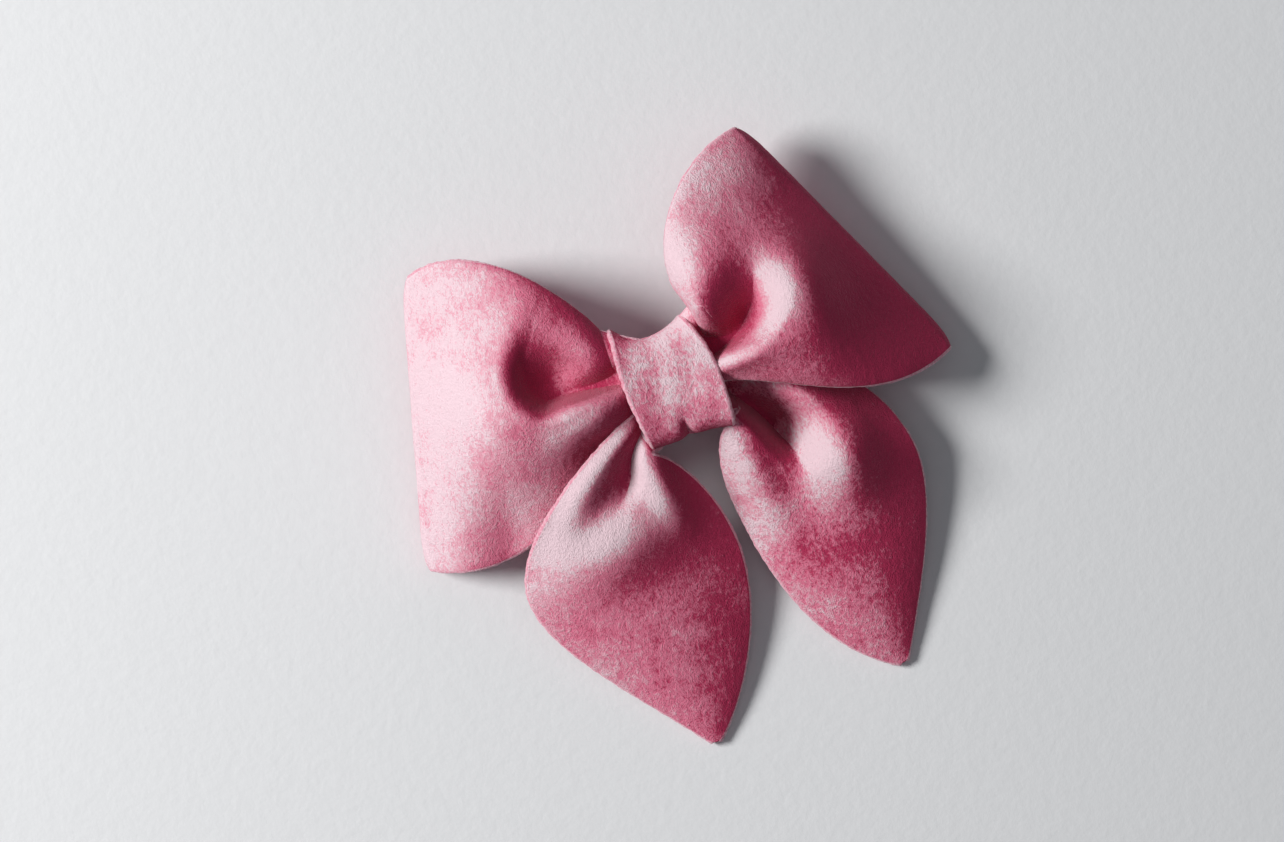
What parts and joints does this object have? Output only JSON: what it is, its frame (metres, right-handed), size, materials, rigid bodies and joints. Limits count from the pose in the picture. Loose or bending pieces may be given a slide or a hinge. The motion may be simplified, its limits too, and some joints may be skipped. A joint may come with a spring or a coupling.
{
  "type": "bow barrette",
  "caption": "Velvet sailor bow with two loops and two tails on an arched steel hair clip with a hinged clasp arm and squeeze latch.",
  "frame": {"origin": "middle of the closed hair gap, halfway between the clasp arm and the tension leaf at mid-length", "axes": "+X along the clip from the hinge to the latch, +Y towards the upper loop corners, +Z out of the bow's face, away from the head"},
  "size_m": [0.1137, 0.1119, 0.0291],
  "materials": {
    "velvet": "crushed pile with a strong pale sheen",
    "thread": "matte spun thread",
    "glue": "smooth set hot-melt glue",
    "clip_steel": "nickel plated",
    "spring_steel": "brushed, nickel plated"
  },
  "bodies": {
    "bow": {"loop_band": "velvet", "tail_panel": "velvet", "centre_wrap": "velvet", "gather_thread": "thread", "glue_pads": "glue", "wrap_glue": "glue", "clip_base": "clip_steel", "hinge_pin": "clip_steel", "latch_foot": "spring_steel", "latch_rivets": "clip_steel"},
    "clasp": {"clasp_arm": "clip_steel"},
    "leaf": {"tension_leaf": "spring_steel"},
    "upper_prong": {"prong_upper": "spring_steel"},
    "lower_prong": {"prong_lower": "spring_steel"}
  },
  "joints": [
    {"name": "clasp_hinge", "type": "hinge", "parent": "bow", "child": "clasp", "pos_m": [-0.033, 0, -0.00552], "axis": [0, 1, 0], "range_deg": [0, 100]},
    {"name": "leaf_flex", "type": "hinge", "parent": "bow", "child": "leaf", "pos_m": [-0.0316, 0, -0.00102], "axis": [0, -1, 0], "range_deg": [0, 1.5], "stiffness_Nm_per_rad": 0.5},
    {"name": "upper_squeeze", "type": "hinge", "parent": "bow", "child": "upper_prong", "pos_m": [0.0322, 0.00225, 0.00071], "axis": [-1, 0, 0], "range_deg": [0, 6], "stiffness_Nm_per_rad": 0.1},
    {"name": "lower_squeeze", "type": "hinge", "parent": "bow", "child": "lower_prong", "pos_m": [0.0322, -0.00225, 0.00071], "axis": [1, 0, 0], "range_deg": [0, 6], "stiffness_Nm_per_rad": 0.1}
  ]
}
